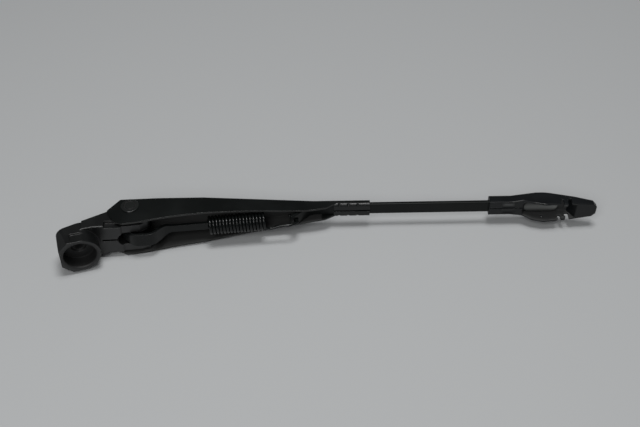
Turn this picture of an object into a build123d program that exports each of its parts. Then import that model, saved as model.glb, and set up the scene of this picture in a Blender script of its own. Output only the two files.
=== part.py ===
from build123d import *
import math
import os

os.makedirs("parts", exist_ok=True)

# All sizes are in millimetres. X runs along the arm to the blade end, Y is the arm's outer face.
# Z is the hinge axis. The origin is the mouth of the straight spindle bore.
# Arm pieces are drawn with the hinge axis at zero and then moved to their place.

# Fits
running_fit = 0.05
press_fit = 0.02
crimp_fit = 0.05
side_play = 0.3

# Head
head_pitch = 15.0
head_half_width = 11.9
head_rear = 11.2
head_corner = 5.0
mouth_lean = 8.0
top_slope = 12.5
top_at_bore = 6.3
top_bevel = 1.3
hinge_ahead = 32.9
hinge_rise = 8.7
mouth_drop = 9.3
cup_depth = 8.0
cup_radius = 9.4
cup_lead = 0.6
taper_wide_radius = 4.6
taper_narrow_radius = 4.0
bore_radius = 3.5
bore_length = 4.0
nut_recess_radius = 8.6
flank_recess_width = 7.6
flank_recess_height = 5.6
flank_recess_depth = 1.0
flank_recess_rise = 1.2

# Fork of the head, measured from the hinge axis
fork_slot = 9.6
fork_slot_rear = -7.2
fork_slot_corner = 4.6
fork_groove_rear = -16.0
fork_groove_width = 1.6
fork_groove_depth = 2.5
fork_bottom = -14.0
fork_heel = -5.0
fork_step = 1.0
fork_nose = 11.4
fork_nose_low = -9.4
fork_nose_round = 2.5
tongue_reach = 9.5
tongue_gap = 0.1
fork_relief_depth = 1.9
fork_relief_top = -10.2
fork_edge = 0.4

# Hinge rivet and link pin
hinge_pin_radius = 2.25
rivet_head_radius = 5.2
rivet_head_height = 0.8
rivet_edge = 0.25
rivet_groove_radius = 3.2
rivet_groove_width = 0.9
rivet_groove_depth = 0.35
link_pin_radius = 2.0
link_pin_x = -2.0
link_pin_y = -7.5

# Spring and its link
anchor_x = 95.0
anchor_y = 0.8
strap_thickness = 1.6
strap_width = 9.0
hook_width = 4.4
shank_width = 5.0
belly_run = 7.4
belly_end = 14.2
belly_radii = (6.0, 7.0, 6.0)
shank_start = 22.2
shank_end = 51.0
eye_x = 48.0
eye_radius = 1.7
wire_radius = 0.9
wire_sides = 6
coil_radius = 4.8
coil_pitch = 1.95
coil_turns = 16.5
coil_start = 47.0
points_per_turn = 9

# Rod
rod_width = 8.0
rod_thickness = 2.4
rod_edge = 0.8
rod_level = 8.6
rod_bend_x = 105.0
rod_bend_radius = 6.0
rod_tail_past_eye = 2.9
rod_end = 251.5
rod_tip_round = 3.4

# Channel
sheet = 1.1
bend_radius = 1.9
web_rear = 2.5
web_hinge_level = 7.0
web_mid_x = 44.0
web_mid_level = 8.5
sleeve_start = 117.0
sleeve_end = 139.5
web_knee = 14.0
ear_round = 1.6
sleeve_seam = 1.2
stake_count = 3
stake_radius = 1.3
stake_depth = 0.4

# Blade holder
holder_start = 210.5
holder_sleeve_end = 229.5
holder_end = 273.8
holder_flare = 6.0
holder_half_width = 7.5
holder_waist_half_width = 6.45
holder_tip_half_width = 4.7
holder_bend_radius = 1.9
holder_seam = 0.6
holder_bottom = 1.5
holder_roof_depth = 2.9
holder_nose_corner = 2.1
holder_plan_round = 5.0
holder_roof_round = 14.0
pocket_round = 5.5
holder_nose_length = 11.3
holder_nose_lean = 0.6
dimple_ahead = 11.5
dimple_z = 2.3
dimple_length = 8.0
dimple_radius = 3.0
dimple_depth = 0.7
latch_x = 242.6
latch_y = 5.4
latch_radius = 0.8
claw_round = 0.9
claw_notches = ((251.8, 1.9, 5.8), (256.1, 2.4, 7.2))
claw_reach = 2.0
claw_inner = 4.4

# Derived sizes
pitch = math.radians(head_pitch)
hinge_x = hinge_ahead * math.cos(pitch) - hinge_rise * math.sin(pitch)
hinge_y = hinge_ahead * math.sin(pitch) + hinge_rise * math.cos(pitch)
nut_seat = bore_length
channel_inner_half = head_half_width + side_play
channel_outer_half = channel_inner_half + sheet
sleeve_inner_half = rod_width / 2 + crimp_fit
sleeve_outer_half = sleeve_inner_half + sheet
sleeve_top = rod_level + rod_thickness / 2 + crimp_fit + sheet
sleeve_bottom = rod_level - rod_thickness / 2 - crimp_fit - sheet
holder_top = rod_level + rod_thickness / 2 + crimp_fit + holder_roof_depth
holder_middle = (holder_sleeve_end + holder_end) / 2
web_slope = (web_mid_level - web_hinge_level) / (web_mid_x - web_rear)
link_angle = math.degrees(math.atan2(anchor_y - link_pin_y, anchor_x - link_pin_x))
link_length = math.hypot(anchor_x - link_pin_x, anchor_y - link_pin_y)
AT_HINGE = Pos(hinge_x, hinge_y, 0)
AT_LINK = AT_HINGE * Pos(link_pin_x, link_pin_y, 0) * Rot(0, 0, link_angle)


def upright(sketch, low, high):
    """Extrude a plan sketch (X, Z) from one Y level up to another."""
    raised = Plane.XZ.offset(-high) * sketch
    return extrude(raised, amount=high - low)


def across(sketch, half_width):
    """Extrude a side sketch (X, Y) to both sides of the middle plane."""
    return extrude(sketch, amount=half_width, both=True)


def mirrored_plan(points, rounding):
    """A plan outline that is the same on both sides of the arm."""
    outline = make_face(Polyline(*points, *[(x, -z) for x, z in reversed(points)], close=True))
    inner = [v for v in outline.vertices() if points[0][0] + 0.1 < v.X < points[-1][0] - 0.1]
    return fillet(inner, rounding)


def boss_plan():
    """Plan of the head: round in front of the spindle, squared behind it."""
    rear = Rectangle(head_rear, 2 * head_half_width, align=(Align.MAX, Align.CENTER))
    rear = fillet(rear.vertices().group_by(Axis.X)[0], head_corner)
    return rear + split(Circle(head_half_width), bisect_by=Plane.YZ)


def corner_cuts():
    """Leaning cuts that turn the squared rear of the boss into a round mouth."""
    block = Box(10, 80, 40, align=(Align.MAX, Align.CENTER, Align.CENTER))
    leaning = Pos(-head_half_width - 0.6, 0, 0) * Rot(0, 0, mouth_lean) * block
    return [Pos(0, -mouth_drop, 0) * Rot(0, turn, 0) * leaning for turn in (-45, 45)]


def boss():
    """Boss with a sloping, bevelled top, in the head's own directions."""
    top = top_at_bore + 8
    body = upright(boss_plan(), -mouth_drop, top)
    slope = math.tan(math.radians(top_slope))
    rear = -head_rear - 5
    front = head_half_width + 5
    cover = Polyline(
        (rear, top_at_bore + slope * rear),
        (front, top_at_bore + slope * front),
        (front, top + 5),
        (rear, top + 5),
        close=True,
    )
    body -= across(make_face(cover), head_half_width + 5)
    top_edges = body.faces().sort_by(Axis.Y)[-1].edges()
    body = chamfer(top_edges.filter_by(lambda edge: edge.center().X < 0), top_bevel)
    return body - corner_cuts()


def fork():
    """Two fork arms with the neck that joins them to the boss, from the hinge axis."""
    tongue_level = web_hinge_level - sheet - tongue_gap
    tongue_top = tongue_level + web_slope * (tongue_reach - web_rear)
    outline = make_face(
        Polyline(
            (-27.0, -9.3),
            (web_rear, tongue_level),
            (tongue_reach, tongue_top),
            (fork_nose, fork_nose_low),
            (6.0, fork_bottom + 2.0),
            (fork_heel + fork_step, fork_bottom + fork_step),
            (fork_heel, fork_bottom),
            (-20.0, fork_bottom - 0.6),
            (-27.0, fork_bottom - 2.4),
            close=True,
        )
    )
    outline = fillet(outline.vertices().sort_by(Axis.X)[-1], fork_nose_round)
    arms = across(outline, head_half_width)
    flanks = arms.faces().filter_by(Axis.Z)
    arms = chamfer(flanks.edges(), fork_edge)
    relief_height = fork_relief_top - fork_bottom + 4
    relief = Pos(0, fork_relief_top - relief_height / 2, 0) * Box(28, relief_height, fork_relief_depth)
    for side in (-1, 1):
        arms -= Pos(0, 0, side * (head_half_width - fork_relief_depth / 2 + 0.01)) * relief
    return arms


def fork_slot_cut():
    """The slot that the strap swings in, round at the rear, with a narrow groove behind it."""
    slot = Rectangle(40, fork_slot, align=(Align.MIN, Align.CENTER))
    slot = fillet(slot.vertices().group_by(Axis.X)[0], fork_slot_corner)
    slot = upright(Pos(fork_slot_rear, 0) * slot, -30, 15)
    length = fork_slot_rear - fork_groove_rear + 2
    groove = Rectangle(length, fork_groove_width, align=(Align.MIN, Align.CENTER))
    groove = upright(Pos(fork_groove_rear, 0) * groove, -30, fork_bottom + fork_groove_depth)
    return slot + groove


def spindle_cuts():
    """Cup, taper, straight bore and nut recess, in the head's own directions."""
    profile = Polyline(
        (0, -mouth_drop - 1),
        (cup_radius + cup_lead, -mouth_drop - 1),
        (cup_radius + cup_lead, -mouth_drop),
        (cup_radius, -mouth_drop + cup_lead),
        (cup_radius, -mouth_drop + cup_depth),
        (taper_wide_radius, -mouth_drop + cup_depth),
        (taper_narrow_radius, 0),
        (bore_radius, 0),
        (bore_radius, nut_seat),
        (nut_recess_radius, nut_seat),
        (nut_recess_radius, top_at_bore + 8),
        (0, top_at_bore + 8),
        close=True,
    )
    return revolve(make_face(profile), Axis.Y)


def flank_recess():
    """Shallow cored recess on both flanks of the boss, just above the mouth."""
    middle = flank_recess_rise + flank_recess_height / 2 - mouth_drop
    window = fillet(Rectangle(flank_recess_width, flank_recess_height).vertices(), 0.8)
    through = across(Pos(0, middle) * window, head_half_width + 1)
    return through - Box(40, 60, 2 * (head_half_width - flank_recess_depth))


def pin_hole(x, y, radius):
    """A hole across the arm at a place measured from the hinge axis."""
    return AT_HINGE * Pos(x, y, 0) * Cylinder(radius, 60)


def wiper_head():
    """Die-cast head: boss, neck and fork in one piece."""
    turn = Rot(0, 0, head_pitch)
    body = turn * boss() + AT_HINGE * fork()
    body -= turn * spindle_cuts()
    body -= turn * flank_recess()
    body -= AT_HINGE * fork_slot_cut()
    body -= pin_hole(0, 0, hinge_pin_radius + running_fit)
    body -= pin_hole(link_pin_x, link_pin_y, link_pin_radius + press_fit)
    return body


def hinge_pin():
    """Rivet: a plain set head on one side, a formed head with a ring groove on the other."""
    inner = channel_outer_half + press_fit
    outer = inner + rivet_head_height
    groove_in = rivet_groove_radius - rivet_groove_width / 2
    groove_out = rivet_groove_radius + rivet_groove_width / 2
    profile = Polyline(
        (0, -outer),
        (rivet_head_radius, -outer),
        (rivet_head_radius, -inner),
        (hinge_pin_radius, -inner),
        (hinge_pin_radius, inner),
        (rivet_head_radius, inner),
        (rivet_head_radius, outer - rivet_edge),
        (rivet_head_radius - rivet_edge, outer),
        (groove_out, outer),
        (groove_out, outer - rivet_groove_depth),
        (groove_in, outer - rivet_groove_depth),
        (groove_in, outer),
        (0, outer),
        close=True,
    )
    return AT_HINGE * revolve(Plane.XZ * make_face(profile), Axis.Z)


def link_pin():
    """Cross pin that the strap hooks on, ending just inside the flanks of the fork."""
    pin = Cylinder(link_pin_radius, 2 * (head_half_width - side_play))
    return AT_HINGE * Pos(link_pin_x, link_pin_y, 0) * pin


def strap_path():
    """Middle line of the strap: hook round the pin, belly below the hinge, straight shank."""
    hook = link_pin_radius + 2 * running_fit + strap_thickness / 2
    arc = CenterArc((0, 0), hook, 75, 150)
    leave = arc @ 1
    low = leave + belly_run * (arc % 1)
    rise = (belly_end, low.Y)
    belly = FilletPolyline(leave, low, rise, (shank_start, 0), (shank_end, 0), radius=belly_radii)
    return Wire([arc, *belly.edges()])


def spring_link():
    """C-shaped strap, narrow at the hook, wide at the belly and narrow at the shank with its eye."""
    path = strap_path()
    start = Plane(origin=path @ 0, x_dir=(0, 0, 1), z_dir=path % 0)
    strap = sweep(start * Rectangle(strap_width, strap_thickness), path=path)
    side = [
        (-8.0, hook_width / 2),
        (-1.5, hook_width / 2),
        (3.0, strap_width / 2),
        (shank_start - 3, strap_width / 2),
        (shank_start + 3, shank_width / 2),
        (shank_end + 1, shank_width / 2),
    ]
    plan = make_face(Polyline(*side, *[(x, -z) for x, z in reversed(side)], close=True))
    strap &= upright(plan, -20, 20)
    strap -= Pos(eye_x, 0, 0) * Rot(90, 0, 0) * Cylinder(eye_radius, 10)
    end_corners = strap.edges().filter_by(Axis.Y).group_by(Axis.X)[-1]
    strap = fillet(end_corners, 2.2)
    return AT_LINK * strap


def coil_points():
    """Points on the close-wound helix, starting on the outer side and ending below."""
    steps = round(coil_turns * points_per_turn)
    points = []
    for step in range(steps + 1):
        turn = 2 * math.pi * step / points_per_turn
        along = coil_start + coil_pitch * step / points_per_turn
        points.append((along, coil_radius * math.cos(turn), coil_radius * math.sin(turn)))
    return points


def tension_spring():
    """Close-wound coil with a hook through the link's eye and one through the rod's tail."""
    rear_hook = [
        (eye_x, -2.3, 0.0),
        (eye_x, 0.0, 0.0),
        (eye_x - 0.5, 2.2, -0.4),
        (coil_start - 0.4, coil_radius - 0.9, -1.6),
    ]
    coil = coil_points()
    finish = coil[-1][0]
    end = link_length
    front_hook = [
        (finish + 2.2, -coil_radius, -1.7),
        (end - 9.0, -coil_radius + 0.1, -0.4),
        (end - 2.4, -4.9, 0.0),
        (end + 1.2, -2.8, 0.0),
        (end - 0.3, 0.1, 0.0),
        (end - 1.4, 2.3, 0.0),
        (end - 3.6, 2.9, 0.0),
    ]
    path = Polyline(*rear_hook, *coil, *front_hook)
    start = Plane(origin=path @ 0, z_dir=path % 0)
    wire = start * RegularPolygon(wire_radius, wire_sides)
    return AT_LINK * sweep(wire, path=path, transition=Transition.RIGHT)


def arm_rod():
    """Flat bar with rounded edges: bent tail for the spring, rounded tip in the blade holder."""
    run_x = rod_bend_x - anchor_x
    run_y = rod_level - anchor_y
    past = rod_tail_past_eye / math.hypot(run_x, run_y)
    tail = (anchor_x - past * run_x, anchor_y - past * run_y)
    path = FilletPolyline(tail, (rod_bend_x, rod_level), (rod_end, rod_level), radius=rod_bend_radius)
    start = Plane(origin=path @ 0, x_dir=(0, 0, 1), z_dir=path % 0)
    bar = sweep(start * RectangleRounded(rod_width, rod_thickness, rod_edge), path=path)
    tail_turn = Rot(0, 0, math.degrees(math.atan2(run_y, run_x)))
    bar -= Pos(anchor_x, anchor_y, 0) * tail_turn * Rot(90, 0, 0) * Cylinder(eye_radius, 8)
    tip = RectangleRounded(2 * (rod_end - rod_bend_x), rod_width + 0.4, rod_tip_round)
    return AT_HINGE * (bar & upright(Pos(rod_bend_x, 0) * tip, -20, 20))


def channel_side():
    """Side outline of the channel, from the ears at the hinge to the end of the sleeve."""
    lower = Spline(
        (sleeve_start - 4.0, 4.0),
        (98.0, 1.5),
        (69.0, -1.3),
        (40.5, -5.4),
        (20.7, -8.9),
        (8.0, -11.9),
        (-3.5, -13.7),
    )
    ear_top = (-5.2, web_hinge_level - 0.3)
    upper = Polyline(
        ear_top,
        (web_rear, web_hinge_level),
        (web_mid_x, web_mid_level),
        (sleeve_start - web_knee, sleeve_top),
        (sleeve_end, sleeve_top),
        (sleeve_end, sleeve_bottom),
        (sleeve_start, sleeve_bottom),
        lower @ 0,
    )
    rear = Polyline(lower @ 1, (-8.4, -11.2), (-13.2, -3.6), ear_top)
    outline = make_face(Wire([*upper.edges(), *lower.edges(), *rear.edges()]))
    ear = outline.vertices().filter_by(lambda v: v.X < -3.0 and v.Y < 0.0)
    return fillet(ear, ear_round)


def channel_plan(inset, reach):
    """Plan outline of the channel: full width at the hinge, tapering to the sleeve."""
    points = [
        (-14.0 - reach, channel_outer_half - inset),
        (16.0, channel_outer_half - inset),
        (42.0, 12.35 - inset),
        (105.0, sleeve_outer_half + 0.1 - inset),
        (sleeve_end + reach, sleeve_outer_half - inset),
    ]
    return mirrored_plan(points, 40.0)


def bend_edges(solid, low):
    """Edges above a level where the roof of a folded piece turns into its side walls."""
    edges = [edge for edge in solid.edges() if edge.center().Y > low and abs(edge.center().Z) > 2.0]
    return [edge for edge in edges if abs((edge @ 1).X - (edge @ 0).X) > 0.5]


def channel_hollow():
    """The space inside the channel, open below as far as the sleeve."""
    roof = sleeve_top - sheet
    floor = sleeve_bottom + sheet
    outline = make_face(
        Polyline(
            (-30.0, web_hinge_level - sheet),
            (web_rear, web_hinge_level - sheet),
            (web_mid_x, web_mid_level - sheet),
            (sleeve_start - web_knee, roof),
            (sleeve_end + 5, roof),
            (sleeve_end + 5, floor),
            (sleeve_start + sheet, floor),
            (sleeve_start + sheet, -40.0),
            (-30.0, -40.0),
            close=True,
        )
    )
    return across(outline, 30) & upright(channel_plan(sheet, 20), -50, 20)


def stake_dents(start, end):
    """Staking dents across both lower corners of the crimped sleeve, which are rounded."""
    dents = []
    step = (end - start) / stake_count
    rounding = bend_radius * (math.sqrt(2) - 1)
    out = (stake_radius - stake_depth - rounding) / math.sqrt(2)
    for index in range(stake_count):
        for side in (-1, 1):
            corner = Pos(start + (index + 0.5) * step, sleeve_bottom - out, side * (sleeve_outer_half + out))
            punch = extrude(RegularPolygon(stake_radius, 8), amount=3, both=True)
            dents.append(corner * Rot(-45 * side, 0, 0) * punch)
    return dents


def arm_channel():
    """Folded sheet channel: ears at the hinge, open underside, sleeve closed round the rod."""
    body = across(channel_side(), 30) & upright(channel_plan(0, 0), -20, 20)
    body = fillet(bend_edges(body, web_hinge_level - 1), bend_radius)
    body -= channel_hollow()
    body -= Pos(web_rear - 15, 0, 0) * Box(30, 60, 2 * channel_inner_half)
    gap = Box(sleeve_end - sleeve_start + 10, 4, sleeve_seam)
    body -= Pos((sleeve_end + sleeve_start) / 2, sleeve_bottom, 0) * gap
    body -= stake_dents(sleeve_start + 1.5, sleeve_end - 4.5)
    body -= Cylinder(hinge_pin_radius + press_fit, 60)
    return AT_HINGE * body


def holder_plan(inset, start):
    """Plan outline of the blade holder: sleeve, wide middle, narrow nose."""
    points = [
        (start, sleeve_outer_half - inset),
        (holder_sleeve_end - holder_flare, sleeve_outer_half - inset),
        (holder_middle - 13.65, holder_half_width - inset),
        (holder_middle - 5.0, holder_half_width - inset),
        (holder_middle + 9.35, holder_waist_half_width - inset),
        (holder_end - inset, holder_tip_half_width - inset),
    ]
    outline = mirrored_plan(points, holder_plan_round)
    tip = outline.vertices().group_by(Axis.X)[-1]
    return chamfer(tip, holder_nose_corner - 0.6 * inset)


def holder_roof(inset):
    """Outer or inner line of the holder's web: level, then drooping to the nose."""
    level = holder_top - inset
    run = FilletPolyline(
        (holder_start - 5, level),
        (holder_middle - 8.5, level),
        (holder_middle + 8.35, level - 2.8),
        (holder_end + 3, level - 5.9),
        radius=holder_roof_round,
    )
    return run.edges()


def holder_body():
    """The holder's outer form before it is hollowed."""
    roof = holder_roof(0)
    low = Polyline(
        roof.sort_by(Axis.X)[-1] @ 1,
        (holder_end + 3, holder_bottom + 2.1),
        (holder_end - 4, holder_bottom + 1.8),
        (holder_middle + 8.35, holder_bottom + 1.3),
        (holder_middle - 1.65, holder_bottom + 0.5),
        (holder_middle - 8.65, holder_bottom),
        (holder_sleeve_end + 6.5, holder_bottom + 1.8),
        (holder_sleeve_end + 1, sleeve_bottom),
        (holder_start - 5, sleeve_bottom),
        roof.sort_by(Axis.X)[0] @ 0,
    )
    outline = make_face(Wire([*roof, *low.edges()]))
    throat = outline.vertices().filter_by(lambda v: holder_sleeve_end < v.X < holder_middle - 7)
    outline = fillet(throat.filter_by(lambda v: v.Y < rod_level), 2.5)
    body = across(outline, 30) & upright(holder_plan(0, holder_start), -20, 20)
    return fillet(bend_edges(body, sleeve_bottom + 0.3), holder_bend_radius)


def holder_pocket():
    """The space for the blade's clip, open below and closed by the leaning wall of the nose."""
    roof = holder_roof(sheet)
    low = Polyline(
        roof.sort_by(Axis.X)[-1] @ 1,
        (holder_end + 3, -30.0),
        (holder_start - 5, -30.0),
        roof.sort_by(Axis.X)[0] @ 0,
    )
    outline = make_face(Wire([*roof, *low.edges()]))
    pocket = across(outline, 30) & upright(holder_plan(sheet, holder_start), -40, 20)
    rear = holder_sleeve_end + 1.0
    front = holder_end - holder_nose_length
    scoop = Rectangle(front, 2 * holder_half_width, align=(Align.MIN, Align.CENTER))
    scoop = fillet(scoop.vertices().group_by(Axis.X)[0], pocket_round)
    pocket &= upright(Pos(rear, 0) * scoop, -40, 20)
    reach = make_face(
        Polyline(
            (rear, -40.0),
            (front, -40.0),
            (front, holder_bottom),
            (front - holder_nose_lean * holder_top, holder_bottom + holder_top),
            (rear, holder_bottom + holder_top),
            close=True,
        )
    )
    return pocket & across(reach, 30)


def claws():
    """Inward tabs on the lower edges of both walls, between the two notches."""
    start = claw_notches[0][0] + claw_notches[0][1]
    end = claw_notches[1][0]
    level = holder_bottom + 1.0
    tab = Box(end - start, sheet, claw_reach, align=(Align.MIN, Align.MIN, Align.MIN))
    near = Pos(start, level, claw_inner) * tab
    return near, mirror(near, Plane.XY)


def dimples():
    """Pressed dimples on both lips of the holder's sleeve."""
    press = Rot(0, 90, 0) * Cylinder(dimple_radius, dimple_length)
    level = sleeve_bottom + dimple_depth - dimple_radius
    return [Pos(holder_start + dimple_ahead, level, side * dimple_z) * press for side in (-1, 1)]


def blade_holder():
    """Stamped end piece: sleeve crimped on the rod, open middle with claws, drooping nose."""
    body = holder_body()
    body -= holder_pocket()
    sleeve_length = holder_sleeve_end - holder_start
    bar = RectangleRounded(rod_width + 2 * crimp_fit, rod_thickness + 2 * crimp_fit, rod_edge)
    bar = Plane(origin=(holder_start - 5, rod_level, 0), x_dir=(0, 0, 1), z_dir=(1, 0, 0)) * bar
    body -= extrude(bar, amount=sleeve_length + 10)
    seam = Box(sleeve_length + 8, 3, holder_seam)
    body -= Pos(holder_start + sleeve_length / 2, sleeve_bottom, 0) * seam
    for start, width, top in claw_notches:
        notch = Rectangle(width, 12, align=(Align.MIN, Align.MAX))
        notch = fillet(notch.vertices().group_by(Axis.Y)[-1], claw_round)
        body -= across(Pos(start, top) * notch, 30)
    body += claws()
    body -= dimples()
    body -= Pos(latch_x, latch_y, -holder_half_width) * Cylinder(latch_radius, 4 * sheet)
    return AT_HINGE * body


def main():
    """Build every piece and write its STEP file."""
    pieces = {
        "wiper_head": wiper_head,
        "hinge_pin": hinge_pin,
        "link_pin": link_pin,
        "spring_link": spring_link,
        "tension_spring": tension_spring,
        "arm_rod": arm_rod,
        "arm_channel": arm_channel,
        "blade_holder": blade_holder,
    }
    for name, make in pieces.items():
        solid = make()
        export_step(solid, f"parts/{name}.step")
        print(name, round(solid.volume, 1), len(solid.solids()), solid.bounding_box())


main()
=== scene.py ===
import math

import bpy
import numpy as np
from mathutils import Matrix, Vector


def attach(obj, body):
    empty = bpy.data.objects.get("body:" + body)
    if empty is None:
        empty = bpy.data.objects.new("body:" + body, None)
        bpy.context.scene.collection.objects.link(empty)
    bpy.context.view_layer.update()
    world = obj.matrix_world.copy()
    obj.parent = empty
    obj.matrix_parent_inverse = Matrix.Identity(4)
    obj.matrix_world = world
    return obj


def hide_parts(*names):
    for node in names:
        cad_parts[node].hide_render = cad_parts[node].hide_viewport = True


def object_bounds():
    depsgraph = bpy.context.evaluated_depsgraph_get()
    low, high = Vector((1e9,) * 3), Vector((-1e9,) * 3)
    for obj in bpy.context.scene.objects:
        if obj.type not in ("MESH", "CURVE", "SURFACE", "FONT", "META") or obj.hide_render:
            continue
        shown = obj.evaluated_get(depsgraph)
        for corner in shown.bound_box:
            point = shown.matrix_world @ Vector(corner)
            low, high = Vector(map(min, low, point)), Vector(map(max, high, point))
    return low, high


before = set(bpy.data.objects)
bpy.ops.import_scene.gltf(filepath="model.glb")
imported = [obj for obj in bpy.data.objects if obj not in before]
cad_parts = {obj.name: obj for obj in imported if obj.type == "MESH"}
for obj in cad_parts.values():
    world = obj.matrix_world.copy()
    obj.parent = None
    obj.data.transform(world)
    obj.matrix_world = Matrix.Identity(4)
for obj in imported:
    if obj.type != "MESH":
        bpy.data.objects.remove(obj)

# %% [markdown]
# A wiper arm is a chain of black painted metal pieces: a cast head that sits on the
# spindle, a folded sheet channel that hinges on it, a spring inside, a flat rod and a
# stamped holder for the blade. The solid model gives the shapes, and this lesson dresses
# them. X runs along the arm and Z along the hinge rivet. Blender's lengths are in metres.

scene = bpy.context.scene
cad_box = [list(corner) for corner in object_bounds()]
print("solid model box", cad_box)

# %% [markdown]
# A material is a tree of nodes joined by links. It could be put together by hand in the
# shader editor, but a lesson in code needs the same few steps again and again: add a
# node, lay noise over the piece, and turn that noise into a range of values.

# %% Helpers for node trees
noise_low, noise_high = 0.3, 0.7


def node(tree, kind, **values):
    """Adds one shader node and sets its plain properties by name."""
    made = tree.nodes.new(kind)
    for name, value in values.items():
        setattr(made, name, value)
    return made


def noise(tree, place, scale, detail):
    """Three-dimensional noise on Object coordinates, scale in waves per metre."""
    made = node(tree, "ShaderNodeTexNoise")
    made.inputs["Scale"].default_value = scale
    made.inputs["Detail"].default_value = detail
    tree.links.new(place.outputs["Object"], made.inputs["Vector"])
    return made


def spread(tree, source, low, high):
    """Maps the usual span of a noise value to low..high."""
    made = node(tree, "ShaderNodeMapRange")
    made.inputs["From Min"].default_value = noise_low
    made.inputs["From Max"].default_value = noise_high
    made.inputs["To Min"].default_value = low
    made.inputs["To Max"].default_value = high
    tree.links.new(source.outputs["Fac"], made.inputs["Value"])
    return made


# %% [markdown]
# Some places look different from the rest of the same piece: the sheltered inner faces of
# the channel and the holder are painted much lighter than the outside, as painted light, the
# cup of the head is rough inside, and the groove in the rivet's head is painted dark, as
# painted shade. Each such place is found from the position alone, with flat or round limits,
# so it needs no painted picture and stays in place when the arm turns.

# %% Flat and round limits
def within(tree, place, planes):
    """1 where a|x| + b|y| + c|z| is below the limit for every (a, b, c, limit), else 0."""
    folded = node(tree, "ShaderNodeVectorMath", operation="ABSOLUTE")
    tree.links.new(place.outputs["Object"], folded.inputs[0])
    mask = None
    for a, b, c, limit in planes:
        height = node(tree, "ShaderNodeVectorMath", operation="DOT_PRODUCT")
        height.inputs[1].default_value = (a, b, c)
        tree.links.new(folded.outputs["Vector"], height.inputs[0])
        below = node(tree, "ShaderNodeMath", operation="LESS_THAN")
        below.inputs[1].default_value = limit
        tree.links.new(height.outputs["Value"], below.inputs[0])
        if mask is not None:
            both = node(tree, "ShaderNodeMath", operation="MULTIPLY")
            tree.links.new(mask.outputs["Value"], both.inputs[0])
            tree.links.new(below.outputs["Value"], both.inputs[1])
            below = both
        mask = below
    return mask


def around(tree, place, axis_point, turn, across, radii):
    """1 where the distance from an axis is between two radii, else 0.

    turn lays the axis along a coordinate, and across has 1 for the two directions that
    are square to it and 0 for its own.
    """
    turned = node(tree, "ShaderNodeMapping")
    turned.inputs["Location"].default_value = [-v for v in axis_point]
    turned.inputs["Rotation"].default_value = (0.0, 0.0, turn)
    flat = node(tree, "ShaderNodeVectorMath", operation="MULTIPLY")
    flat.inputs[1].default_value = across
    reach = node(tree, "ShaderNodeVectorMath", operation="LENGTH")
    ring = node(tree, "ShaderNodeMath", operation="COMPARE")
    ring.inputs[1].default_value = sum(radii) / 2
    ring.inputs[2].default_value = (radii[1] - radii[0]) / 2
    tree.links.new(place.outputs["Object"], turned.inputs["Vector"])
    tree.links.new(turned.outputs["Vector"], flat.inputs[0])
    tree.links.new(flat.outputs["Vector"], reach.inputs[0])
    tree.links.new(reach.outputs["Value"], ring.inputs[0])
    return ring


# %% The places with painted light, painted shade or a tone of their own
hinge = np.array([29.52723, 16.91870, 0.0])
mm_per_metre = 1000.0


def channel_inside_painted_light(tree, place):
    """Painted light: between the channel's two walls and under its web, as far as the sleeve, the film is
    made lighter.
    """
    walls = [(0.0, 0.0, 1.0, 0.0128), (0.0365, 0.0, 1.0, 0.01446), (0.1118, 0.0, 1.0, 0.01984)]
    web = [(-0.0388, 1.0, 0.0, 0.02206)]
    sleeve = [(1.0, 0.0, 0.0, 0.144)]
    return within(tree, place, walls + web + sleeve)


def holder_inside_painted_light(tree, place):
    """Painted light: the holder's pocket, between its walls, under its web, from the throat to the nose, is
    made lighter.
    """
    walls = [(0.0, 0.0, 1.0, 0.00645), (0.0732, 0.0, 1.0, 0.02667), (-0.162, 0.0, 1.0, -0.03685)]
    web = [(0.0, 1.0, 0.0, 0.0291), (0.166, 1.0, 0.0, 0.0744)]
    nose = [(1.0, 0.6, 0.0, 0.30295)]
    throat = [(-1.0, 0.0, 0.0, -0.2605)]
    return within(tree, place, walls + web + nose + throat)


def head_cup(tree, place):
    """The cup with its lip and the bore, round the spindle's axis, which leans by 15 degrees."""
    lean = math.radians(-15.0)
    return around(tree, place, (0.0, 0.0, 0.0), lean, (1.0, 0.0, 1.0), (0.0, 0.0109))


def rivet_groove_painted_shade(tree, place):
    """Painted shade: the ring groove in the rivet's formed head is made dark."""
    return around(tree, place, hinge / mm_per_metre, 0.0, (1.0, 1.0, 0.0), (0.0027, 0.0037))


# %% [markdown]
# Black paint is never one flat black. The sprayed film has a very fine ripple that
# softens reflections, the gloss changes a little from place to place, and the corners
# of sheet metal are slightly rounded. A plain dark colour would look like plastic, so
# one function makes all the paints from three parts: a broad noise for colour and gloss,
# a fine noise for the ripple, and a rounded-corner normal.

# %% The black paint
patch_scale, ripple_scale = 60.0, 2600.0
tone_change = 0.2
ripple_strength = 0.25


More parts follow.
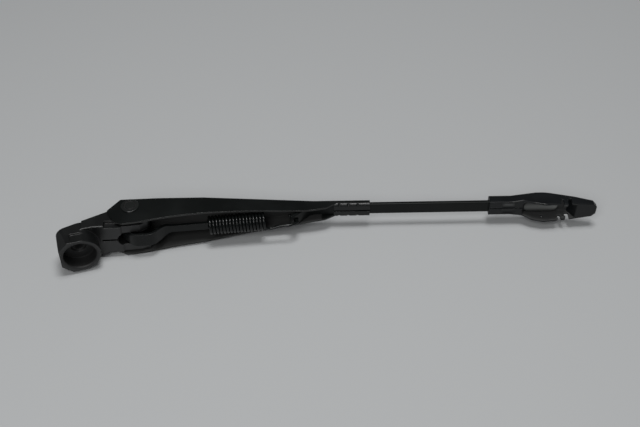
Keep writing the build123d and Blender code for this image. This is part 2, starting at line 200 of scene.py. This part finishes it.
def black_paint(name, colour, gloss, ripple, corner, shine, zone=None, zone_colour=None, zone_gloss=None):
    """Sprayed black paint.

    colour is the film's colour, gloss the roughness range from shiny to dull, ripple the
    height of the spray's texture, corner the radius that sharp edges are rounded to and
    shine the strength of the reflection. zone makes the mask of a place that gets
    zone_colour and zone_gloss instead, which some paints use for painted light or painted shade.
    """
    material = bpy.data.materials.new(name)
    material.use_nodes = True
    tree = material.node_tree
    shader = tree.nodes["Principled BSDF"]
    place = node(tree, "ShaderNodeTexCoord")
    broad = noise(tree, place, patch_scale, 3.0)
    fine = noise(tree, place, ripple_scale, 2.0)
    tones = node(tree, "ShaderNodeValToRGB")
    darkest, lightest = tones.color_ramp.elements
    darkest.position = noise_low
    darkest.color = [(1.0 - tone_change) * c for c in colour] + [1.0]
    lightest.position = noise_high
    lightest.color = [(1.0 + tone_change) * c for c in colour] + [1.0]
    tree.links.new(broad.outputs["Fac"], tones.inputs["Fac"])
    tree.links.new(tones.outputs["Color"], shader.inputs["Base Color"])
    dull = spread(tree, broad, *gloss)
    tree.links.new(dull.outputs["Result"], shader.inputs["Roughness"])
    if zone:
        mask = zone(tree, place)
        tint = node(tree, "ShaderNodeMix", data_type="RGBA")
        tint.inputs["B"].default_value = (*zone_colour, 1.0)
        tree.links.new(mask.outputs["Value"], tint.inputs["Factor"])
        tree.links.new(tones.outputs["Color"], tint.inputs["A"])
        tree.links.new(tint.outputs["Result"], shader.inputs["Base Color"])
        blend = node(tree, "ShaderNodeMix", data_type="FLOAT")
        blend.inputs["B"].default_value = zone_gloss
        tree.links.new(mask.outputs["Value"], blend.inputs["Factor"])
        tree.links.new(dull.outputs["Result"], blend.inputs["A"])
        tree.links.new(blend.outputs["Result"], shader.inputs["Roughness"])
    rounded = node(tree, "ShaderNodeBevel", samples=8)
    rounded.inputs["Radius"].default_value = corner
    bump = node(tree, "ShaderNodeBump")
    bump.inputs["Strength"].default_value = ripple_strength
    bump.inputs["Distance"].default_value = ripple
    tree.links.new(fine.outputs["Fac"], bump.inputs["Height"])
    tree.links.new(rounded.outputs["Normal"], bump.inputs["Normal"])
    tree.links.new(bump.outputs["Normal"], shader.inputs["Normal"])
    shader.inputs["Specular IOR Level"].default_value = shine
    return material


# %% [markdown]
# All the pieces are black, yet no two are alike. The cast head reflects the most and has
# the coarsest ripple, the folded channel is smooth, the flat rod is dull, and the stamped
# holder has the roundest edges. One paint for all would be quicker, but it would make the
# pieces run together, so each piece states its own numbers.

# %% A paint for each piece
paints = {
    "wiper_head": black_paint(
        "cast_head_paint", colour=(0.0045, 0.005, 0.005), gloss=(0.30, 0.42), ripple=4e-5, corner=5e-4,
        shine=0.60, zone=head_cup, zone_colour=(0.006, 0.0062, 0.0062), zone_gloss=0.6,
    ),
    # The much lighter film inside the channel is painted light.
    "arm_channel": black_paint(
        "channel_paint", colour=(0.005, 0.006, 0.0057), gloss=(0.24, 0.34), ripple=2e-5, corner=3e-4,
        shine=0.35, zone=channel_inside_painted_light, zone_colour=(0.030, 0.0307, 0.030), zone_gloss=0.6,
    ),
    "arm_rod": black_paint(
        "rod_paint", colour=(0.006, 0.007, 0.0068), gloss=(0.28, 0.40), ripple=2e-5, corner=4e-4, shine=0.15
    ),
    # The much lighter film in the holder's pocket is painted light.
    "blade_holder": black_paint(
        "holder_paint", colour=(0.006, 0.007, 0.008), gloss=(0.30, 0.42), ripple=2e-5, corner=1e-3,
        shine=0.30, zone=holder_inside_painted_light, zone_colour=(0.048, 0.049, 0.049), zone_gloss=0.6,
    ),
    # The dark ring in the rivet's groove is painted shade.
    "hinge_pin": black_paint(
        "rivet_paint", colour=(0.012, 0.0135, 0.0128), gloss=(0.24, 0.34), ripple=2e-5, corner=2e-4,
        shine=0.55, zone=rivet_groove_painted_shade, zone_colour=(0.004, 0.004, 0.004), zone_gloss=0.5,
    ),
    "spring_link": black_paint(
        "link_paint", colour=(0.005, 0.006, 0.006), gloss=(0.24, 0.36), ripple=2e-5, corner=4e-4, shine=0.22
    ),
}


def dress(piece, material):
    """Gives a piece of the solid model one material."""
    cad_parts[piece].data.materials.clear()
    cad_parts[piece].data.materials.append(material)
    print(piece, "has", material.name)


for piece, paint in paints.items():
    dress(piece, paint)

# %% [markdown]
# The cross pin that the spring's link hooks on is plain drawn steel, hardly seen inside
# the fork. It could be one plain grey, but a close view would show it as flat. Fine noise
# stretched along the pin gives it the marks of the drawing die.

# %% Drawn steel for the link pin
def drawn_steel(name):
    """Bare steel with fine lines along Z, from noise stretched in that direction."""
    material = bpy.data.materials.new(name)
    material.use_nodes = True
    tree = material.node_tree
    shader = tree.nodes["Principled BSDF"]
    place = node(tree, "ShaderNodeTexCoord")
    stretch = node(tree, "ShaderNodeMapping")
    stretch.inputs["Scale"].default_value = (4000.0, 4000.0, 120.0)
    lines = node(tree, "ShaderNodeTexNoise")
    lines.inputs["Scale"].default_value = 1.0
    tree.links.new(place.outputs["Object"], stretch.inputs["Vector"])
    tree.links.new(stretch.outputs["Vector"], lines.inputs["Vector"])
    dull = spread(tree, lines, 0.3, 0.5)
    tree.links.new(dull.outputs["Result"], shader.inputs["Roughness"])
    shader.inputs["Base Color"].default_value = (0.25, 0.25, 0.25, 1.0)
    shader.inputs["Metallic"].default_value = 1.0
    return material


dress("link_pin", drawn_steel("pin_steel"))

# %% [markdown]
# The tension spring is wound from round wire with its turns nearly touching. The solid
# model has it with flat facets, so a smooth one takes its place here. It could be a curve
# object with a round bevel, but a formula keeps the wire's size exact: a centre line of
# points and a circle carried along it. Its numbers are in millimetres, as in the solid
# model, and they become metres when the mesh is made.

# %% Putting a grid of points into a mesh
def grid_mesh(name, points, material):
    """A closed tube from points[ring, side, xyz] in mm: sides wrap round, both ends get a cap."""
    rings, sides, _ = points.shape
    ring, side = np.meshgrid(np.arange(rings - 1), np.arange(sides), indexing="ij")
    after = (side + 1) % sides
    quads = np.stack(
        [ring * sides + side, ring * sides + after, (ring + 1) * sides + after, (ring + 1) * sides + side],
        axis=-1,
    ).reshape(-1, 4)
    first = np.arange(sides)[::-1]
    last = (rings - 1) * sides + np.arange(sides)
    corners = (points / mm_per_metre).reshape(-1, 3)
    mesh = bpy.data.meshes.new(name)
    mesh.from_pydata(corners.tolist(), [], quads.tolist() + [first.tolist(), last.tolist()])
    mesh.polygons.foreach_set("use_smooth", np.ones(len(mesh.polygons), dtype=bool))
    mesh.materials.append(material)
    mesh.update()
    made = bpy.data.objects.new(name, mesh)
    scene.collection.objects.link(made)
    print(name, len(mesh.polygons), "faces")
    return made


# %% A wire along a line
def smooth_line(knots, steps):
    """A curve through the knots: cubic pieces whose slopes come from the neighbouring chords."""
    chord = np.linalg.norm(np.diff(knots, axis=0), axis=1)[:, None]
    slope = np.diff(knots, axis=0) / chord
    inner = (chord[1:] * slope[:-1] + chord[:-1] * slope[1:]) / (chord[1:] + chord[:-1])
    tangent = np.vstack([slope[:1], inner, slope[-1:]])
    t = (np.arange(steps) / steps)[None, :, None]
    a, b = knots[:-1, None], knots[1:, None]
    ta, tb = (tangent[:-1] * chord)[:, None], (tangent[1:] * chord)[:, None]
    piece = a + t * ta + t**2 * (3 * (b - a) - 2 * ta - tb) + t**3 * (2 * (a - b) + ta + tb)
    return np.vstack([piece.reshape(-1, 3), knots[-1:]])


def tube(line, radius, sides, guide):
    """A circle carried along a line: p + radius * (cos(v) n + sin(v) b).

    n is square to the line and to the guide, and b is square to the line and to n.
    """
    along = np.gradient(line, axis=0)
    along /= np.linalg.norm(along, axis=1)[:, None]
    n = np.cross(along, guide)
    n /= np.linalg.norm(n, axis=1)[:, None]
    b = np.cross(along, n)
    v = np.linspace(0.0, 2.0 * np.pi, sides, endpoint=False)[None, :, None]
    return line[:, None] + radius * (np.cos(v) * n[:, None] + np.sin(v) * b[:, None])


# %% The spring's centre line, measured from the link pin along the link
pin_place = hinge + np.array([-2.0, -7.5, 0.0])
rod_eye = hinge + np.array([95.0, 0.8, 0.0])
link_length = np.linalg.norm(rod_eye - pin_place)
coil_radius, coil_pitch, coil_turns, coil_start = 4.8, 1.95, 16.5, 47.0
points_per_turn = 24
link_eye = 48.0

turns = np.arange(0, int(coil_turns * points_per_turn) + 1) / float(points_per_turn)
angle = 2 * np.pi * turns
coil = np.stack(
    [coil_start + coil_pitch * turns, coil_radius * np.cos(angle), coil_radius * np.sin(angle)], axis=-1
)
rear_hook = np.array([
    [link_eye, -2.3, 0.0],
    [link_eye, 0.0, 0.0],
    [link_eye - 0.5, 2.2, -0.4],
    [coil_start - 0.4, coil_radius - 0.9, -1.6],
])
front_hook = np.array([
    [coil[-1, 0] + 2.2, -coil_radius, -1.7],
    [link_length - 9.0, -coil_radius + 0.1, -0.4],
    [link_length - 2.4, -4.9, 0.0],
    [link_length + 1.2, -2.8, 0.0],
    [link_length - 0.3, 0.1, 0.0],
    [link_length - 1.4, 2.3, 0.0],
    [link_length - 3.6, 2.9, 0.0],
])
spring_line = smooth_line(np.vstack([rear_hook, coil, front_hook]), 3)
print("spring line of", len(spring_line), "points")

# %% The spring
wire_radius, wire_sides = 0.9, 12
wire_guide = np.array([0.93, 0.0, 0.37])
link_x = (rod_eye - pin_place) / link_length
link_y = np.array([-link_x[1], link_x[0], 0.0])
link_z = np.array([0.0, 0.0, 1.0])
wire = tube(spring_line, wire_radius, wire_sides, wire_guide)
wire = pin_place + wire[..., :1] * link_x + wire[..., 1:2] * link_y + wire[..., 2:] * link_z
spring_paint = black_paint(
    "spring_paint", colour=(0.005, 0.006, 0.006), gloss=(0.16, 0.24), ripple=1e-5, corner=1e-4, shine=0.30
)
spring = grid_mesh("spring", wire, spring_paint)
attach(spring, "link")
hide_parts("tension_spring")

# %% [markdown]
# The flat rod ends inside the holder, where the blade's clip has rubbed its lower face
# into a slight crown. A modifier could swell a flat strip, but a formula gives an even
# crown: each cross-section is half of a flat oval, and its width follows the round ends.
# The same formula gives each point a painted highlight, which the paint reads as an
# attribute, so the light grey of the painted highlight fades out towards the edges.

# %% The shape of the rod's crowned tip, measured from the hinge
tip_start, tip_end, tip_half_width, tip_round = 231.5, 251.4, 3.9, 3.4
tip_level, crown, sunk = 7.4, 0.32, 0.5
tip_rings, tip_sides = 41, 48

along_tip = (0.5 - 0.5 * np.cos(np.linspace(0.03, 0.97, tip_rings) * np.pi))[:, None]
tip_x = tip_start + (tip_end - tip_start) * along_tip
past_round = np.clip(tip_round - np.minimum(tip_x - tip_start, tip_end - tip_x), 0.0, tip_round)
tip_width = tip_half_width - tip_round + np.sqrt(tip_round**2 - past_round**2)
angle = np.linspace(0.0, 2.0 * np.pi, tip_sides, endpoint=False)[None, :]
lower = np.clip(np.sin(angle), 0.0, 1.0)
upper = np.clip(-np.sin(angle), 0.0, 1.0)
tip_y = tip_level - crown * (tip_width / tip_half_width) * lower**0.7 + sunk * upper
tip_points = np.stack([tip_x + 0.0 * angle, tip_y, tip_width * np.cos(angle)], axis=-1)
# A painted highlight: lightest along the middle of the lower face and towards the tip's end.
painted_highlight = lower**2 * (0.6 + 0.4 * along_tip)
print("crown of", tip_points.shape[:2], "points")

# %% The paint with a painted highlight, and the crowned tip
def painted_highlight_mask(tree, place):
    """The painted highlight that is stored on the points, squared so that it fades softly."""
    stored = node(tree, "ShaderNodeAttribute", attribute_name="painted_highlight")
    faded = node(tree, "ShaderNodeMath", operation="POWER")
    faded.inputs[1].default_value = 2.0
    tree.links.new(stored.outputs["Fac"], faded.inputs[0])
    return faded


# The tip's film is lighter than the rod's paint, and much lighter where the painted highlight is stored.
highlight_tip_paint = black_paint(
    "painted_highlight_tip_paint", colour=(0.020, 0.021, 0.020), gloss=(0.26, 0.36), ripple=2e-5, corner=1e-4,
    shine=0.40, zone=painted_highlight_mask, zone_colour=(0.19, 0.196, 0.19), zone_gloss=0.3,
)
tip_crown = grid_mesh("rod_tip_crown", hinge + tip_points, highlight_tip_paint)
tip_crown.data.attributes.new("painted_highlight", "FLOAT", "POINT").data.foreach_set("value", painted_highlight.ravel())
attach(tip_crown, "arm")

# %% [markdown]
# The press that closes the holder's sleeve on the rod leaves a long dent in each lip. In
# the solid model their ends are straight. A thin liner in each dent gives it ends that
# rise softly, and stores a painted highlight along the dent's floor, strong in the near
# dent and weak in the far one. Sculpting the holder's own mesh could do the same, but the
# solid model's meshes stay as they are.

# %% The shape of the dents' liners, measured from the hinge
dent_start, dent_end, dent_middle = 218.0, 226.0, 2.3
dent_radius, dent_depth = 3.0, 0.7
lip_level, lip_flat, lip_round = 6.25, 3.25, 1.9
liner_above, liner_below = 0.02, 0.2
liner_rings, liner_sides = 33, 40


def dent_liner(side):
    """A tube in the dent, with its painted highlight: its lower half goes from the lip to the dent's floor
    and back.
    """
    along = np.linspace(0.0, 1.0, liner_rings)[:, None]
    around_dent = np.linspace(0.0, 2.0 * np.pi, liner_sides, endpoint=False)[None, :]
    half_width = math.sqrt(dent_radius**2 - (dent_radius - dent_depth) ** 2)
    across = half_width * np.cos(around_dent)
    z = side * dent_middle + across
    past_flat = np.clip(np.abs(z) - lip_flat, 0.0, lip_round)
    bend = lip_round - np.sqrt(lip_round**2 - past_flat**2)
    dent_floor = np.sqrt(dent_radius**2 - across**2) - (dent_radius - dent_depth)
    rise = 1.0 - (2.0 * along - 1.0) ** 4
    seen = np.maximum(bend, dent_floor * rise) - liner_above
    hidden = np.maximum(bend, dent_floor) + liner_below + 0.0 * along
    y = lip_level + np.where(np.sin(around_dent) >= 0.0, seen, hidden)
    x = dent_start + (dent_end - dent_start) * along + 0.0 * z
    # A painted highlight, lightest along the middle of the dent's floor and of its length.
    dent_highlight = rise * np.clip(np.sin(around_dent), 0.0, 1.0) ** 2
    return np.stack([x, y, z + 0.0 * along], axis=-1), dent_highlight


# %% The dents' liners
# The light grey where the highlight is stored is a painted highlight.
dent_paint = black_paint(
    "pressed_dent_highlight_paint", colour=(0.006, 0.007, 0.008), gloss=(0.30, 0.42), ripple=2e-5, corner=1e-4,
    shine=0.30, zone=painted_highlight_mask, zone_colour=(0.09, 0.092, 0.092), zone_gloss=0.35,
)
# The near dent's painted highlight is strong and the far dent's weak, as the light falls.
for name, side, highlight_strength in (("near_dent_liner", 1.0, 0.9), ("far_dent_liner", -1.0, 0.35)):
    liner_points, dent_highlight = dent_liner(side)
    liner = grid_mesh(name, hinge + liner_points, dent_paint)
    painted_highlight_values = (highlight_strength * dent_highlight).ravel()
    liner.data.attributes.new("painted_highlight", "FLOAT", "POINT").data.foreach_set("value", painted_highlight_values)
    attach(liner, "arm")

# %% [markdown]
# The arm lies on a pale grey sheet. A backdrop that curves up would do as well, but the
# view looks down, so a flat sheet fills the picture. It sits just under the lowest point.

# %% Floor
floor_half = 3.0
floor_level = cad_box[0][2] - 0.0001
floor_sides = ((-1, -1), (1, -1), (1, 1), (-1, 1))
floor_corners = [(x * floor_half, y * floor_half, floor_level) for x, y in floor_sides]
floor_mesh = bpy.data.meshes.new("floor")
floor_mesh.from_pydata(floor_corners, [], [(0, 1, 2, 3)])
floor_paper = bpy.data.materials.new("floor_paper")
floor_paper.use_nodes = True
paper_shader = floor_paper.node_tree.nodes["Principled BSDF"]
paper_shader.inputs["Base Color"].default_value = (0.48, 0.49, 0.495, 1.0)
paper_shader.inputs["Roughness"].default_value = 0.9
floor_mesh.materials.append(floor_paper)
floor = bpy.data.objects.new("floor", floor_mesh)
scene.collection.objects.link(floor)
print("floor at", round(floor_level, 4))

# %% [markdown]
# A soft lamp above lights the sheet, which lights the underside by reflection, and keeps
# the flat upper faces dark. A second soft lamp in front, to the left, reaches into the
# open channel and gives the edges thin highlights. A lamp behind the arm would give it a
# deeper shadow, but its mirror image would turn the upper walls grey.

# %% Lamps and world
def soft_lamp(name, place, target, size, power):
    """A square area lamp that faces its target."""
    light = bpy.data.lights.new(name, "AREA")
    light.size = size
    light.energy = power
    lamp = bpy.data.objects.new(name, light)
    lamp.location = place
    lamp.rotation_euler = (Vector(target) - Vector(place)).to_track_quat("-Z", "Y").to_euler()
    scene.collection.objects.link(lamp)
    print(name, power, "watts")


arm_middle = (0.15, 0.02, 0.0)
soft_lamp("lamp_above", place=(0.20, -0.02, 1.30), target=arm_middle, size=0.4, power=9.0)
soft_lamp("lamp_front", place=(-0.10, -0.80, 0.95), target=arm_middle, size=0.6, power=6.0)
world = bpy.data.worlds.new("room")
world.use_nodes = True
room = world.node_tree.nodes["Background"]
room.inputs["Color"].default_value = (0.06, 0.062, 0.064, 1.0)
room.inputs["Strength"].default_value = 1.0
scene.world = world

# %% [markdown]
# The camera looks down at about 46 degrees on the open underside, nearly square to the
# arm. Its place comes from matching the outline of the solid model to the view: the lens
# sees the arm from 0.6 metres, with the blade end a little further away. A small vertical
# shift centres the picture without tilting the camera.

# %% Camera
elevation, yaw, distance = math.radians(45.6), math.radians(1.35), 0.5952
picture_width = 640.0
target = Vector((0.139527, 0.026419, 0.0))
level = math.cos(elevation)
right = Vector((math.cos(yaw), -math.sin(yaw), 0.0))
forward = Vector((math.sin(yaw) * level, math.cos(yaw) * level, -math.sin(elevation)))
upward = right.cross(forward)
eye = target - distance * forward
lens = bpy.data.cameras.new("camera")
lens.lens = 56.25
lens.sensor_width = 36.0
lens.sensor_fit = "HORIZONTAL"
lens.shift_y = -6.0 / picture_width
lens.clip_start = 0.01
camera = bpy.data.objects.new("camera", lens)
camera_turn = Matrix((right, upward, -forward)).transposed().to_4x4()
camera.matrix_world = Matrix.Translation(eye) @ camera_turn
scene.collection.objects.link(camera)
scene.camera = camera
scene.view_settings.view_transform = "Standard"
print("camera at", tuple(round(v, 4) for v in eye))

# %% [markdown]
# The dressed arm has to be as big as the solid model. This last cell brings the scene up to date.

# %% Bringing the scene up to date
bpy.context.view_layer.update()
